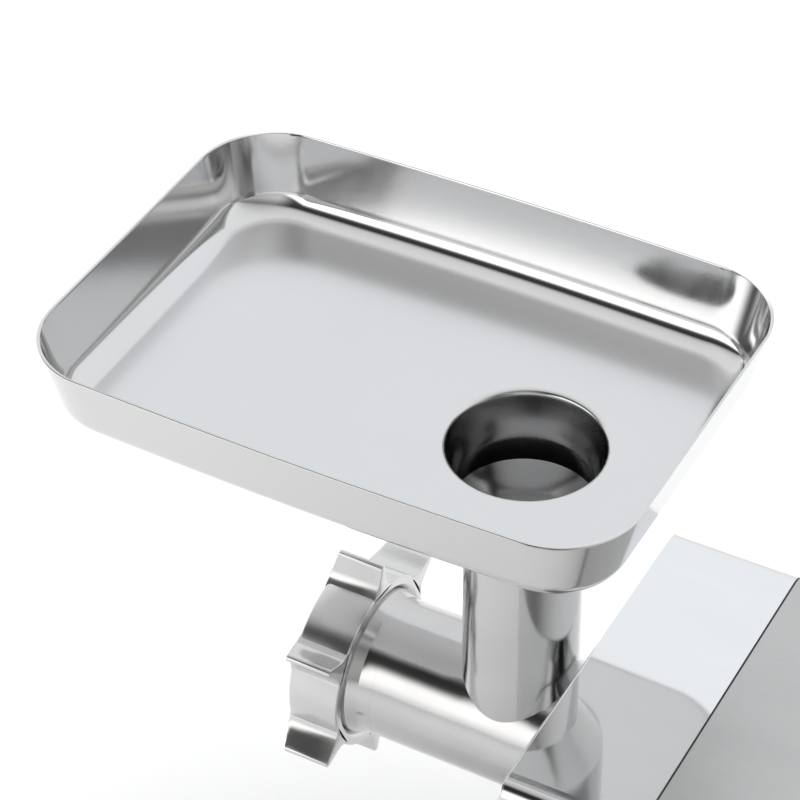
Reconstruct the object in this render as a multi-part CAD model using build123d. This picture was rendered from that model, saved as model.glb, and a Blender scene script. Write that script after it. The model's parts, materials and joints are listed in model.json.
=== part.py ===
"""Electric meat grinder: tray, grinding head, motor housing, gear train and motor.

Millimetres. +Z is up, the mince leaves towards -Y, the operator's controls are on +X.
The origin is on the table, under the middle of the machine's bounding box.
"""
from build123d import *
import math
import os

os.makedirs("parts", exist_ok=True)

# ---- heights and lengths that everything else follows
AXIS_Z = 148.0          # feed screw axis above the table
TUBE_Y = -45.8          # feed tube axis
HALF_LENGTH = 280.2     # tray's front rim to the cover's back edge, halved
HALF_WIDTH = 125.9      # tray's far rim and the lock knob's face

# ---- tray
TRAY_X = -8.0
TRAY_Y = TUBE_Y - 71.5
TRAY_RIM_Z = AXIS_Z + 237.0
TRAY_FLOOR_Z = AXIS_Z + 193.0
TRAY_HALF_WIDTH = 117.9
TRAY_HALF_LENGTH = 162.9
TRAY_CORNER_R = 43.5
TRAY_INSET = 10.0       # how far the wall leans in from rim to floor
TRAY_FILLET = 16.0
SHEET = 1.2
FEED_HOLE_R = 40.0
COLLAR_END_R = 35.7
COLLAR_DEPTH = 28.0

# ---- grinding head
TUBE_R = 31.0
THROAT_R = 26.0
THROAT_RELIEF_R = 27.0  # wider just over the feed screw
THROAT_RELIEF_Z = AXIS_Z + 34.0
CUP_R = 45.5            # seat that takes the tray's collar
CUP_TOP_Z = TRAY_FLOOR_Z - SHEET - 0.2
FLARE_START_Z = TRAY_FLOOR_Z - 62.0
FLARE_END_Z = TRAY_FLOOR_Z - 40.0
SEAT_FOOT_Z = TRAY_FLOOR_Z - 44.0
SEAT_FOOT_R = 38.0
SEAT_TOP_R = 43.0
BARREL_FRONT_R = 38.4
BARREL_BACK_R = 39.2
BARREL_FRONT_Y = TUBE_Y - 111.0
THREAD_R = 41.5
BARREL_FLARE = 6.5      # length of the cone between thread and barrel
PLATE_SEAT_R = 35.1
PLATE_SEAT_DEPTH = 9.5
KNIFE_ROOM = 13.0
KNIFE_SEAT_R = 33.1
BORE_BACK_Y = TUBE_Y + THROAT_R + 6.0
SCREW_BORE_R = 28.2
KEY = (3.0, 9.2, 6.0)
FLIGHT_R = 27.4
SHANK_R = 32.0
SHANK_END_Y = 42.0
STUD_BORE_R = 12.0

# ---- ring nut
NUT_BACK_Y = TUBE_Y - 85.1
NUT_FRONT_Y = TUBE_Y - 115.2
NUT_R = 49.4
NUT_BORE_R = 41.8
NUT_MOUTH_R = 30.0
LUG_TIP_R = 66.3
LUG_COUNT = 6
LUG_ANGLE = 35.0
LUG_HALF_TIP = 2.0
LUG_HALF_FOOT = 9.5
NUT_LIP = 4.0
PLATE_FRONT_Y = NUT_FRONT_Y + 4.2
PLATE_THICK = 7.0
PLATE_RINGS = ((12.5, 8), (20.0, 13), (27.5, 18))
PLATE_HOLE_R = 2.6
KNIFE_FRONT_Y = PLATE_FRONT_Y + PLATE_THICK + 0.3
KNIFE_THICK = 9.0
KNIFE_TURN = 20.0

# ---- motor housing
SHELL_FRONT_Y = TUBE_Y + 41.1
SEAM_Y = TUBE_Y + 113.1
SHELL_HALF_WIDTH = 108.0
SHELL_TOP_Z = AXIS_Z + 67.2
SHELL_BOTTOM_Z = 14.0
SHELL_CORNER_R = 13.0
SHELL_WALL = 1.5
SEAM_WIDTH = 1.1
FLANGE_TOP_Z = 34.0
PANEL_HOLE_R = BARREL_BACK_R + 0.8
SIDE_SCREW_Z = 25.0
FRONT_SCREW_Y = (10.0, 55.0)
COVER_SCREW_Y = (85.0, 175.0, 262.0)
REAR_SCREW_X = 92.0
REAR_SCREW_Z = (46.0, 118.0, 190.0)

# ---- gear train: output shaft, intermediate shaft and motor shaft, all along Y
OUT_MODULE = 1.5
OUT_TEETH = 65
OUT_PINION_TEETH = 13
IN_MODULE = 0.8
IN_TEETH = 84
MOTOR_PINION_TEETH = 12
PRESSURE_ANGLE = math.radians(25)
ADDENDUM = 0.8
DEDENDUM = 1.05
BACKLASH = 0.1
MOTOR_X = 0.0
MOTOR_Z = 80.0
OUT_DISTANCE = OUT_MODULE * (OUT_TEETH + OUT_PINION_TEETH) / 2
IN_DISTANCE = IN_MODULE * (IN_TEETH + MOTOR_PINION_TEETH) / 2
SHAFT_DROP = AXIS_Z - MOTOR_Z
MID_DROP = (OUT_DISTANCE**2 - IN_DISTANCE**2 + SHAFT_DROP**2) / (2 * SHAFT_DROP)
MID_X = -math.sqrt(OUT_DISTANCE**2 - MID_DROP**2)
MID_Z = AXIS_Z - MID_DROP
OUT_TO_MID = math.degrees(math.atan2(MID_Z - AXIS_Z, MID_X))
MID_TO_MOTOR = math.degrees(math.atan2(MOTOR_Z - MID_Z, MOTOR_X - MID_X))

# ---- stations along Y inside the housing
SOCKET_BACK_Y = 46.0
BOX_FRONT_Y = 46.0
BOX_BACK_Y = 96.0
BOX_WALL = 4.0
BOX_SCREWS = ((48, 182), (-48, 182), (-74, 84), (17, 72), (49, 116), (-34, 58))
SOCKET_SCREW_PCD = 101.0
BOLT_SPREAD = 36.0
OUT_GEAR_Y = (78.0, 90.0)
OUT_PINION_Y = (77.0, 91.0)
IN_GEAR_Y = (62.0, 70.0)
MOTOR_PINION_Y = (61.0, 71.0)
FRONT_BRACKET_Y = (104.0, 110.0)
STATOR_Y = (122.0, 176.0)
COMMUTATOR_Y = (190.0, 205.0)
REAR_BRACKET_Y = (209.0, 215.0)
FAN_Y = (220.0, 232.0)
ROTOR_END_Y = 236.0
REAR_PANEL_Y = (272.0, 274.0)
COIL_X = 31.0
FIT = 0.05              # radial clearance of a shaft in its bearing

# ---- controls on the +X side
CONTROL_Y = 190.0
CONTROL_Z = 120.0
BEZEL = (96.0, 44.0, 2.5)
POWER_Y = CONTROL_Y - 30.0
REVERSE_Y = CONTROL_Y
RESET_Y = CONTROL_Y + 30.0
ROCKER = (17.0, 26.0)
ROCKER_REST_TILT = 8.0
ROCKER_PIVOT_X = 106.0
PIVOT_R = 1.6
PIVOT_HALF = 9.5
BUTTON_TRAVEL = 3.5
BUTTON_BACK_X = 97.0
BUTTON_R = 6.0

# ---- feet, inlet, knob
FOOT_X = 84.0
FOOT_Y = (26.0, 248.0)
FOOT_R = 14.0
INLET_X = -58.0
INLET_Z = 58.0
KNOB_Y = 20.0
KNOB_R = 19.0
LOCK_SCREW_R = 5.0


def across(sketch, y0, y1):
    """A sketch drawn in X and Z, made solid from y0 to y1."""
    return extrude(Plane.XZ.offset(-y1) * sketch, amount=y1 - y0)


def sideways(sketch, x0, x1):
    """A sketch drawn in Y and Z, made solid from x0 to x1."""
    return extrude(Plane.YZ.offset(x0) * sketch, amount=x1 - x0)


def upright(sketch, z0, z1):
    """A sketch drawn in X and Y, made solid from z0 to z1."""
    return extrude(Plane.XY.offset(z0) * sketch, amount=z1 - z0)


def turned(points):
    """A closed profile of (radius, height) points, turned about Z."""
    return revolve(make_face(Plane.XZ * Polyline(*points, close=True)), Axis.Z)


def turnedAlongY(points, x=0.0, z=AXIS_Z):
    """A closed profile of (radius, y) points, turned about a line along Y."""
    return Pos(x, 0, z) * Rot(-90, 0, 0) * turned(points)


def rodY(radius, y0, y1, x=0.0, z=AXIS_Z):
    return across(Pos(x, z) * Circle(radius), y0, y1)


def tubeY(outer, inner, y0, y1, x=0.0, z=AXIS_Z):
    return across(Pos(x, z) * (Circle(outer) - Circle(inner)), y0, y1)


def group(solids):
    return Compound(children=list(solids))


def save(shape, node):
    export_step(shape, f"parts/{node}.step")


# ---- tray and head

def trayBody(margin, floorZ, rimZ):
    """The tray's tapered block, its walls moved in by margin."""
    rim = RectangleRounded(2 * (TRAY_HALF_WIDTH - margin), 2 * (TRAY_HALF_LENGTH - margin),
                           TRAY_CORNER_R - margin)
    inset = TRAY_INSET + margin
    floor = RectangleRounded(2 * (TRAY_HALF_WIDTH - inset), 2 * (TRAY_HALF_LENGTH - inset),
                             TRAY_CORNER_R - 10 - margin)
    block = loft([Plane.XY.offset(floorZ) * floor, Plane.XY.offset(rimZ) * rim])
    return fillet(block.faces().sort_by(Axis.Z)[0].edges(), TRAY_FILLET - margin)


def tray():
    """Pressed sheet tray, with a feed hole turned down into a tapered collar."""
    shell = trayBody(0, TRAY_FLOOR_Z - SHEET, TRAY_RIM_Z)
    shell -= trayBody(SHEET, TRAY_FLOOR_Z, TRAY_RIM_Z)
    shell = Pos(TRAY_X, TRAY_Y, 0) * shell
    lip = FEED_HOLE_R + 3.0
    top = TRAY_FLOOR_Z
    low = top - COLLAR_DEPTH
    shell -= Pos(0, TUBE_Y, 0) * upright(Circle(lip), top - 5, top + 5)
    collar = turned([
        (lip, top), (FEED_HOLE_R + 0.8, top - 0.9), (FEED_HOLE_R, top - 3.0),
        (COLLAR_END_R, low), (COLLAR_END_R + SHEET, low), (FEED_HOLE_R + SHEET, top - 3.4),
        (lip - 0.6, top - SHEET), (lip, top - SHEET)])
    return shell + Pos(0, TUBE_Y, 0) * collar


def headOuter():
    tube = turned([
        (0, AXIS_Z), (TUBE_R, AXIS_Z), (TUBE_R, FLARE_START_Z), (CUP_R, FLARE_END_Z),
        (CUP_R, CUP_TOP_Z), (0, CUP_TOP_Z)])
    threadBack = NUT_BACK_Y + 0.5
    barrel = turnedAlongY([
        (0, BARREL_FRONT_Y), (THREAD_R - 1, BARREL_FRONT_Y), (THREAD_R, BARREL_FRONT_Y + 1),
        (THREAD_R, threadBack), (BARREL_FRONT_R, threadBack + BARREL_FLARE), (BARREL_BACK_R, -1.0),
        (SHANK_R, -1.0), (SHANK_R, SHANK_END_Y), (0, SHANK_END_Y)])
    return barrel + Pos(0, TUBE_Y, 0) * tube


def headInner():
    throat = turned([
        (0, AXIS_Z), (THROAT_RELIEF_R, AXIS_Z), (THROAT_RELIEF_R, THROAT_RELIEF_Z),
        (THROAT_R, THROAT_RELIEF_Z), (THROAT_R, FLARE_START_Z), (SEAT_FOOT_R, SEAT_FOOT_Z),
        (SEAT_TOP_R, CUP_TOP_Z + 1), (0, CUP_TOP_Z + 1)])
    mouthY = BARREL_FRONT_Y - 1
    seatBack = BARREL_FRONT_Y + PLATE_SEAT_DEPTH
    knifeBack = seatBack + KNIFE_ROOM
    bore = turnedAlongY([
        (0, mouthY), (PLATE_SEAT_R, mouthY), (PLATE_SEAT_R, seatBack), (KNIFE_SEAT_R, seatBack),
        (KNIFE_SEAT_R, knifeBack), (SCREW_BORE_R, knifeBack), (SCREW_BORE_R, BORE_BACK_Y),
        (STUD_BORE_R, BORE_BACK_Y), (STUD_BORE_R, SHANK_END_Y + 1), (0, SHANK_END_Y + 1)])
    return bore + Pos(0, TUBE_Y, 0) * throat


def headCasting():
    """Feed tube and barrel in one casting, with a groove for the lock screw's tip."""
    groove = tubeY(SHANK_R + 1, SHANK_R - 3, KNOB_Y - 7, KNOB_Y + 7)
    return headOuter() - headInner() - groove - plateKey()


def plateKey():
    """Square key pressed in the barrel's mouth, standing in the plate's notch."""
    return Pos(0, BARREL_FRONT_Y + KEY[1] / 2, AXIS_Z + PLATE_SEAT_R) * Box(*KEY)


def lugOutline():
    """Ring with six lugs whose flanks are hollow arcs."""
    root = NUT_R - 1.5
    rise = LUG_TIP_R - 1.6
    side = [(LUG_TIP_R, 0.9), (rise, LUG_HALF_TIP), (NUT_R + 6.0, 4.2), (root, LUG_HALF_FOOT)]
    lug = Polyline(*side, *[(r, -half) for r, half in reversed(side)], close=True)
    outline = Circle(NUT_R)
    for i in range(LUG_COUNT):
        outline += Rot(0, 0, LUG_ANGLE + i * 360 / LUG_COUNT) * make_face(lug)
    return outline


def ringNut():
    blank = across(Pos(0, AXIS_Z) * lugOutline(), NUT_FRONT_Y, NUT_BACK_Y)
    cut = turnedAlongY([
        (0, NUT_FRONT_Y - 1), (NUT_MOUTH_R, NUT_FRONT_Y - 1), (NUT_MOUTH_R, NUT_FRONT_Y + NUT_LIP),
        (NUT_BORE_R, NUT_FRONT_Y + NUT_LIP), (NUT_BORE_R, NUT_BACK_Y - 2),
        (NUT_BORE_R + 2.5, NUT_BACK_Y + 0.5), (0, NUT_BACK_Y + 0.5)])
    tips = turnedAlongY([
        (LUG_TIP_R + 2, NUT_FRONT_Y - 1), (LUG_TIP_R + 2, NUT_FRONT_Y + 4), (NUT_R - 2, NUT_FRONT_Y - 1)])
    return blank - cut - tips


def grinderPlate():
    """Cutting plate with rings of holes, held by the ring nut."""
    face = Circle(PLATE_SEAT_R - 0.1) - Circle(5.0)
    face -= Pos(0, PLATE_SEAT_R) * Rectangle(KEY[0] + 0.6, KEY[2] + 1)
    for radius, count in PLATE_RINGS:
        for i in range(count):
            face -= Rot(0, 0, i * 360 / count) * Pos(radius, 0) * Circle(PLATE_HOLE_R)
    return across(Pos(0, AXIS_Z) * face, PLATE_FRONT_Y, PLATE_FRONT_Y + PLATE_THICK)


def knife():
    """Four-wing knife on the feed screw's square end."""
    wing = make_face(Polyline((5, -7.5), (31, -4.5), (31, 5.5), (5, 7.5), close=True))
    face = Circle(12)
    for i in range(4):
        face += Rot(0, 0, i * 90 + KNIFE_TURN) * wing
    face -= Rot(0, 0, KNIFE_TURN) * Rectangle(10.2, 10.2)
    return across(Pos(0, AXIS_Z) * face, KNIFE_FRONT_Y, KNIFE_FRONT_Y + KNIFE_THICK)


def polar(radius, degrees):
    return (radius * math.cos(math.radians(degrees)), radius * math.sin(math.radians(degrees)))


def feedScrew():
    """Core with one helical flight, and a square end that carries the knife."""
    flightFront = KNIFE_FRONT_Y + KNIFE_THICK + 1.0
    length = BORE_BACK_Y - 2.0 - flightFront
    turns = 3.0
    rim = [polar(FLIGHT_R - drop, angle) for drop, angle in
           ((1.2, -27), (0.2, -18), (0, 0), (0.2, 18), (1.2, 27))]
    flight = make_face(Polyline(polar(11, 40), polar(11, -40), *rim, close=True)) + Circle(13)
    body = Solid.extrude_linear_with_rotation(flight.faces()[0], (0, 0, 0), (0, 0, length),
                                              360 * turns)
    body = Pos(0, flightFront, AXIS_Z) * Rot(-90, 0, 0) * body
    square = across(Pos(0, AXIS_Z) * Rot(0, 0, KNIFE_TURN) * Rectangle(10, 10), KNIFE_FRONT_Y,
                    flightFront + 1)
    pin = rodY(4.9, KNIFE_FRONT_Y - 6.0, KNIFE_FRONT_Y + 1)
    return body + square + pin


def screwStud():
    """Hardened stud in the feed screw's back end, square where the output shaft drives it."""
    start = BORE_BACK_Y - 2.0
    bearing = rodY(STUD_BORE_R - FIT, start, SHANK_END_Y + 1.5)
    drive = across(Pos(0, AXIS_Z) * Rectangle(13.8, 13.8), SHANK_END_Y + 1.5, SHANK_END_Y + 18)
    return bearing + drive


def feedScrewWasher():
    """Thrust washer between the feed screw and the casting's back wall."""
    start = BORE_BACK_Y - 1.8
    return tubeY(20, STUD_BORE_R + 0.3, start, start + 1.5)


# ---- gears

def involute(angle):
    return math.tan(angle) - angle


def gearFace(teeth, module):
    """Toothed disc with one tooth centred on local +X."""
    pitchR = module * teeth / 2
    baseR = pitchR * math.cos(PRESSURE_ANGLE)
    rootR = pitchR - DEDENDUM * module
    tipR = pitchR + ADDENDUM * module
    thick = math.pi * module / 2 - BACKLASH * module

    def halfAngle(r):
        flank = math.acos(min(1.0, baseR / r))
        return thick / (2 * pitchR) + involute(PRESSURE_ANGLE) - involute(flank)

    start = max(rootR, baseR)
    radii = [start + (tipR - start) * step for step in (0.0, 0.35, 0.7, 1.0)]
    side = [(r, halfAngle(r)) for r in radii]
    if rootR < baseR:
        side = [(rootR, side[0][1])] + side
    points = []
    for i in range(teeth):
        centre = 2 * math.pi * i / teeth
        flank = [(r, centre - a) for r, a in side] + [(r, centre + a) for r, a in reversed(side)]
        points += [(r * math.cos(a), r * math.sin(a)) for r, a in flank]
    return make_face(Polyline(*points, close=True))


def placedGear(teeth, module, bore, x, z, toothAngle, y0, y1):
    face = Rot(0, 0, toothAngle) * gearFace(teeth, module) - Circle(bore)
    return across(Pos(x, z) * face, y0, y1)


def outputGear():
    gear = placedGear(OUT_TEETH, OUT_MODULE, 12.0, 0, AXIS_Z, OUT_TO_MID, *OUT_GEAR_Y)
    for i in range(6):
        x, z = polar(31, 60 * i + 15)
        gear -= rodY(8, OUT_GEAR_Y[0] - 1, OUT_GEAR_Y[1] + 1, x, AXIS_Z + z)
    return gear


def intermediatePinion():
    """Pinion and shaft in one piece, carried by two bushes."""
    shaft = rodY(5.0, BOX_FRONT_Y + 1.5, BOX_BACK_Y + 6, MID_X, MID_Z)
    tooth = OUT_TO_MID + 180 + 180 / OUT_PINION_TEETH
    return shaft + placedGear(OUT_PINION_TEETH, OUT_MODULE, 4.0, MID_X, MID_Z, tooth, *OUT_PINION_Y)


def intermediateGear():
    return placedGear(IN_TEETH, IN_MODULE, 5.0, MID_X, MID_Z, MID_TO_MOTOR, *IN_GEAR_Y)


def motorPinion():
    tooth = MID_TO_MOTOR + 180 + 180 / MOTOR_PINION_TEETH
    return placedGear(MOTOR_PINION_TEETH, IN_MODULE, 2.5, MOTOR_X, MOTOR_Z, tooth, *MOTOR_PINION_Y)


def outputShaft():
    """Stepped shaft with a square socket for the feed screw's stud."""
    shaft = turnedAlongY([
        (0, SHANK_END_Y + 2), (14, SHANK_END_Y + 2), (14, 76), (12, 76), (12, 91), (8, 91),
        (8, 106), (0, 106)])
    return shaft - across(Pos(0, AXIS_Z) * Rectangle(14, 14), SHANK_END_Y + 1, SHANK_END_Y + 22)


# ---- gearbox

def boxOutline(margin):
    """Three overlapping discs round the three shafts."""
    return (Pos(0, AXIS_Z) * Circle(52.5 + margin) + Pos(MID_X, MID_Z) * Circle(37 + margin)
            + Pos(MOTOR_X, MOTOR_Z) * Circle(10 + margin)
            + Pos(MOTOR_X, (MOTOR_Z + AXIS_Z) / 2) * Rectangle(20 + 2 * margin, SHAFT_DROP))


def gearboxHousing():
    outline = boxOutline(BOX_WALL)
    for x, z in BOX_SCREWS:
        outline += Pos(x, z) * Circle(6.5)
    box = across(outline, BOX_FRONT_Y, BOX_BACK_Y)
    box -= across(boxOutline(0), BOX_FRONT_Y + BOX_WALL, BOX_BACK_Y + 1)
    box += rodY(26, BOX_FRONT_Y, BOX_FRONT_Y + 14)
    box += rodY(11, BOX_FRONT_Y, BOX_FRONT_Y + 13, MID_X, MID_Z)
    box -= rodY(21, BOX_FRONT_Y - 1, BOX_FRONT_Y + 15)
    box -= rodY(8, BOX_FRONT_Y + 1, BOX_FRONT_Y + 14, MID_X, MID_Z)
    for x, z in BOX_SCREWS:
        box -= rodY(2.1, BOX_BACK_Y - 14, BOX_BACK_Y + 1, x, z)
    return box


def gearboxCover():
    outline = boxOutline(BOX_WALL)
    for x, z in BOX_SCREWS:
        outline += Pos(x, z) * Circle(6.5)
    cover = across(outline, BOX_BACK_Y, BOX_BACK_Y + 5)
    cover += rodY(17, BOX_BACK_Y, BOX_BACK_Y + 12)
    cover += rodY(11, BOX_BACK_Y, BOX_BACK_Y + 8, MID_X, MID_Z)
    cover -= rodY(13, BOX_BACK_Y - 1, BOX_BACK_Y + 13)
    cover -= rodY(8, BOX_BACK_Y - 1, BOX_BACK_Y + 7, MID_X, MID_Z)
    cover -= rodY(6, BOX_BACK_Y - 1, BOX_BACK_Y + 6, MOTOR_X, MOTOR_Z)
    for x, z in BOX_SCREWS:
        cover -= rodY(2.2, BOX_BACK_Y - 1, BOX_BACK_Y + 6, x, z)
    return cover


def panScrew(x, z, y, length, radius=2.0):
    """Pan head screw driven towards -Y, its head's underside at y."""
    return (rodY(radius, y - length, y, x, z)
            + turnedAlongY([(0, y), (3.8, y), (3.4, y + 1.8), (2.2, y + 2.4), (0, y + 2.4)], x, z))


def gearboxScrews():
    return group(panScrew(x, z, BOX_BACK_Y + 5, 17) for x, z in BOX_SCREWS)


def headSocket():
    """Flanged socket that takes the head's shank and the lock screw."""
    socket = tubeY(43.5, SHANK_R + FIT, 0.0, SOCKET_BACK_Y)
    socket += tubeY(58, SHANK_R + FIT, SOCKET_BACK_Y - 6, SOCKET_BACK_Y)
    socket -= sideways(Pos(KNOB_Y, AXIS_Z) * Circle(LOCK_SCREW_R + FIT), 25, 60)
    for x, z in socketScrewPlaces():
        socket -= rodY(2.6, SOCKET_BACK_Y - 7, SOCKET_BACK_Y + 1, x, z)
    return socket


def socketScrewPlaces():
    return [(x, AXIS_Z + z) for x, z in
            (polar(SOCKET_SCREW_PCD / 2, angle) for angle in (45, 135, 225, 315))]


def socketScrews():
    """Four socket-head screws through the socket's flange."""
    y = SOCKET_BACK_Y - 6
    return group(rodY(2.5, y, y + 10 - BOX_WALL, x, z) + rodY(4.2, y - 5, y, x, z)
                 for x, z in socketScrewPlaces())


# ---- motor

def boltPlaces():
    return [(dx, dz) for dx in (-BOLT_SPREAD, BOLT_SPREAD) for dz in (-BOLT_SPREAD, BOLT_SPREAD)]


def statorCore():
    face = Pos(MOTOR_X, MOTOR_Z) * (RectangleRounded(86, 86, 22) - Circle(23.5))
    for side in (-1, 1):
        face -= Pos(MOTOR_X + side * COIL_X, MOTOR_Z) * RectangleRounded(11, 46, 5)
    for dx, dz in boltPlaces():
        face -= Pos(MOTOR_X + dx, MOTOR_Z + dz) * Circle(2.4)
    return across(face, *STATOR_Y)


def fieldWindings():
    """Two copper coils lying in the stator's side slots, with their end turns."""
    coils = []
    for side in (-1, 1):
        leg = Pos(MOTOR_X + side * COIL_X, MOTOR_Z) * RectangleRounded(10, 45, 4.5)
        coils.append(across(leg, STATOR_Y[0] - 9, STATOR_Y[1] + 9))
    return group(coils)


def rotorCore():
    face = Circle(22.5) - Circle(5)
    for i in range(12):
        face -= Rot(0, 0, i * 30) * Pos(18.4, 0) * Circle(2.6)
        face -= Rot(0, 0, i * 30) * Pos(21.6, 0) * Rectangle(4, 1.6)
    return across(Pos(MOTOR_X, MOTOR_Z) * face, STATOR_Y[0] + 2, STATOR_Y[1] - 2)


def rotorWindings():
    """The rotor coils' end turns, both sides of the core."""
    ends = []
    for y0, y1 in ((STATOR_Y[0] - 8, STATOR_Y[0] + 2), (STATOR_Y[1] - 2, STATOR_Y[1] + 8)):
        ends.append(tubeY(19.5, 5.0, y0, y1, MOTOR_X, MOTOR_Z))
    return group(ends)


def rotorShaft():
    return turnedAlongY([
        (0, MOTOR_PINION_Y[0] - 1), (2.5, MOTOR_PINION_Y[0] - 1), (2.5, MOTOR_PINION_Y[1]),
        (4, MOTOR_PINION_Y[1]), (4, STATOR_Y[0] - 9), (5, STATOR_Y[0] - 9), (5, COMMUTATOR_Y[1]),
        (4, COMMUTATOR_Y[1]), (4, ROTOR_END_Y), (0, ROTOR_END_Y)], MOTOR_X, MOTOR_Z)


def commutator():
    face = Circle(13) - Circle(5)
    for i in range(24):
        face -= Rot(0, 0, i * 15) * Pos(12.6, 0) * Rectangle(1.6, 0.7)
    return across(Pos(MOTOR_X, MOTOR_Z) * face, *COMMUTATOR_Y)


def coolingFan():
    hub = Circle(9) - Circle(4)
    disc = tubeY(37, 4, FAN_Y[0], FAN_Y[0] + 1.6, MOTOR_X, MOTOR_Z)
    fan = disc + across(Pos(MOTOR_X, MOTOR_Z) * hub, *FAN_Y)
    blade = Pos(23, 0) * Rectangle(26, 1.6)
    blades = blade
    for i in range(1, 11):
        blades += Rot(0, 0, i * 360 / 11) * blade
    return fan + across(Pos(MOTOR_X, MOTOR_Z) * blades, FAN_Y[0], FAN_Y[1] - 1)


def motorBracket(y0, y1):
    """End frame: a cross with a bearing boss."""
    face = RectangleRounded(86, 86, 22) - RectangleRounded(66, 66, 18)
    face += Rectangle(18, 80) + Rectangle(80, 18) + Circle(17)
    face -= Circle(11)
    for dx, dz in boltPlaces():
        face -= Pos(dx, dz) * Circle(2.4)
    return across(Pos(MOTOR_X, MOTOR_Z) * face, y0, y1)


def motorBolts():
    bolts = []
    for dx, dz in boltPlaces():
        x, z = MOTOR_X + dx, MOTOR_Z + dz
        bolt = rodY(2.3, FRONT_BRACKET_Y[0] - 2, REAR_BRACKET_Y[1], x, z)
        bolts.append(bolt + rodY(4, REAR_BRACKET_Y[1], REAR_BRACKET_Y[1] + 3, x, z))
    return group(bolts)


def motorSpacers():
    """Four sleeves between the stator and the end frames."""
    sleeves = []
    for dx, dz in boltPlaces():
        for y0, y1 in ((FRONT_BRACKET_Y[1], STATOR_Y[0]), (STATOR_Y[1], REAR_BRACKET_Y[0])):
            sleeves.append(tubeY(4.5, 2.35, y0, y1, MOTOR_X + dx, MOTOR_Z + dz))
    return group(sleeves)


def gearboxSpacers():
    """Three stand-offs that carry the motor on the gearbox cover."""
    return group(rodY(4, BOX_BACK_Y + 5, FRONT_BRACKET_Y[0], MOTOR_X + dx, MOTOR_Z + dz)
                 for dx, dz in ((0, 40), (-38, 0), (0, 15)))


def brushHolders():
    holders = []
    y = sum(COMMUTATOR_Y) / 2
    for side in (-1, 1):
        tube = Pos(y, MOTOR_Z) * (Rectangle(11, 14) - Rectangle(8.2, 11.2))
        x0, x1 = sorted((MOTOR_X + side * 15, MOTOR_X + side * 36))
        foot = Pos(y, MOTOR_Z - 9) * Rectangle(11, 4)
        holders.append(sideways(tube, x0, x1) + sideways(foot, x0, x1))
    return group(holders)


def carbonBrushes():
    brushes = []
    y = sum(COMMUTATOR_Y) / 2
    for side in (-1, 1):
        x0, x1 = sorted((MOTOR_X + side * 13.3, MOTOR_X + side * 31))
        brushes.append(sideways(Pos(y, MOTOR_Z) * Rectangle(8, 11), x0, x1))
    return group(brushes)


def motorCradle():
    """Bent sheet saddle that holds the stator up from the base plate."""
    low = SHELL_BOTTOM_Z + SHELL_WALL
    top = MOTOR_Z - 43.0
    saddle = Pos(0, 149, (low + top) / 2) * Box(60, 44, top - low)
    hollow = Pos(0, 149, (low + top) / 2) * Box(56, 46, top - low - 4)
    return saddle - hollow


# ---- housing

def hoodOutline(margin):
    """Upside-down U of the housing, open at the bottom."""
    half = SHELL_HALF_WIDTH - margin
    top = SHELL_TOP_Z - margin
    radius = SHELL_CORNER_R - margin
    block = Pos(0, (top + SHELL_BOTTOM_Z) / 2) * Rectangle(2 * half, top - SHELL_BOTTOM_Z)
    corners = block.vertices().filter_by(lambda v: v.Y > SHELL_BOTTOM_Z + 1)
    return fillet(corners, radius)


def hood(y0, y1, wall=SHELL_WALL):
    inner = hoodOutline(wall) + Pos(0, SHELL_BOTTOM_Z) * Rectangle(2 * (SHELL_HALF_WIDTH - wall), 20)
    return across(hoodOutline(0) - inner, y0, y1)


def sideScrewHoles(body, ys):
    for y in ys:
        for side in (-1, 1):
            x0, x1 = sorted((side * (SHELL_HALF_WIDTH - 5), side * (SHELL_HALF_WIDTH + 1)))
            body -= sideways(Pos(y, SIDE_SCREW_Z) * Circle(2.1), x0, x1)
    return body


def frontShell():
    shell = sideScrewHoles(hood(SHELL_FRONT_Y, SEAM_Y), FRONT_SCREW_Y)
    return shell - sideways(Pos(KNOB_Y, AXIS_Z) * Circle(6.5), 100, 110)


def frontPanel():
    """Mirror-polished front wall with the opening for the head."""
    y0 = SHELL_FRONT_Y + 0.6
    panel = across(hoodOutline(SHELL_WALL + 0.1), y0, y0 + 1.5)
    return panel - rodY(PANEL_HOLE_R, y0 - 1, y0 + 3)


def seamGasket():
    """Soft strip in the joint between shell and cover."""
    return hood(SEAM_Y, SEAM_Y + SEAM_WIDTH)


def rearCover():
    cover = sideScrewHoles(hood(SEAM_Y + SEAM_WIDTH, HALF_LENGTH), COVER_SCREW_Y)
    for y, width, height in controlCutouts():
        cover -= sideways(Pos(y, CONTROL_Z) * Rectangle(width, height), 100, 112)
    return cover


def controlCutouts():
    return [(POWER_Y, 20, 30), (REVERSE_Y, 20, 30), (RESET_Y, 17, 17)]


def rearPanel():
    """Back wall with vent slots and the inlet's opening."""
    panel = across(hoodOutline(SHELL_WALL + 0.1), *REAR_PANEL_Y)
    for row in range(5):
        for column in range(4):
            slot = Pos(-54 + column * 36, 118 + row * 16) * SlotOverall(28, 4.5)
            panel -= across(slot, REAR_PANEL_Y[0] - 1, REAR_PANEL_Y[1] + 1)
    panel -= across(Pos(INLET_X, INLET_Z) * Rectangle(29, 21.5), REAR_PANEL_Y[0] - 1,
                    REAR_PANEL_Y[1] + 1)
    for x, z in rearScrewPlaces():
        panel -= rodY(2.1, REAR_PANEL_Y[0] - 1, REAR_PANEL_Y[1] + 1, x, z)
    return panel


def rearScrewPlaces():
    return [(side * REAR_SCREW_X, z) for side in (-1, 1) for z in REAR_SCREW_Z]


def rearScrews():
    return group(panScrew(x, z, REAR_PANEL_Y[1], 10) for x, z in rearScrewPlaces())


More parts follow.
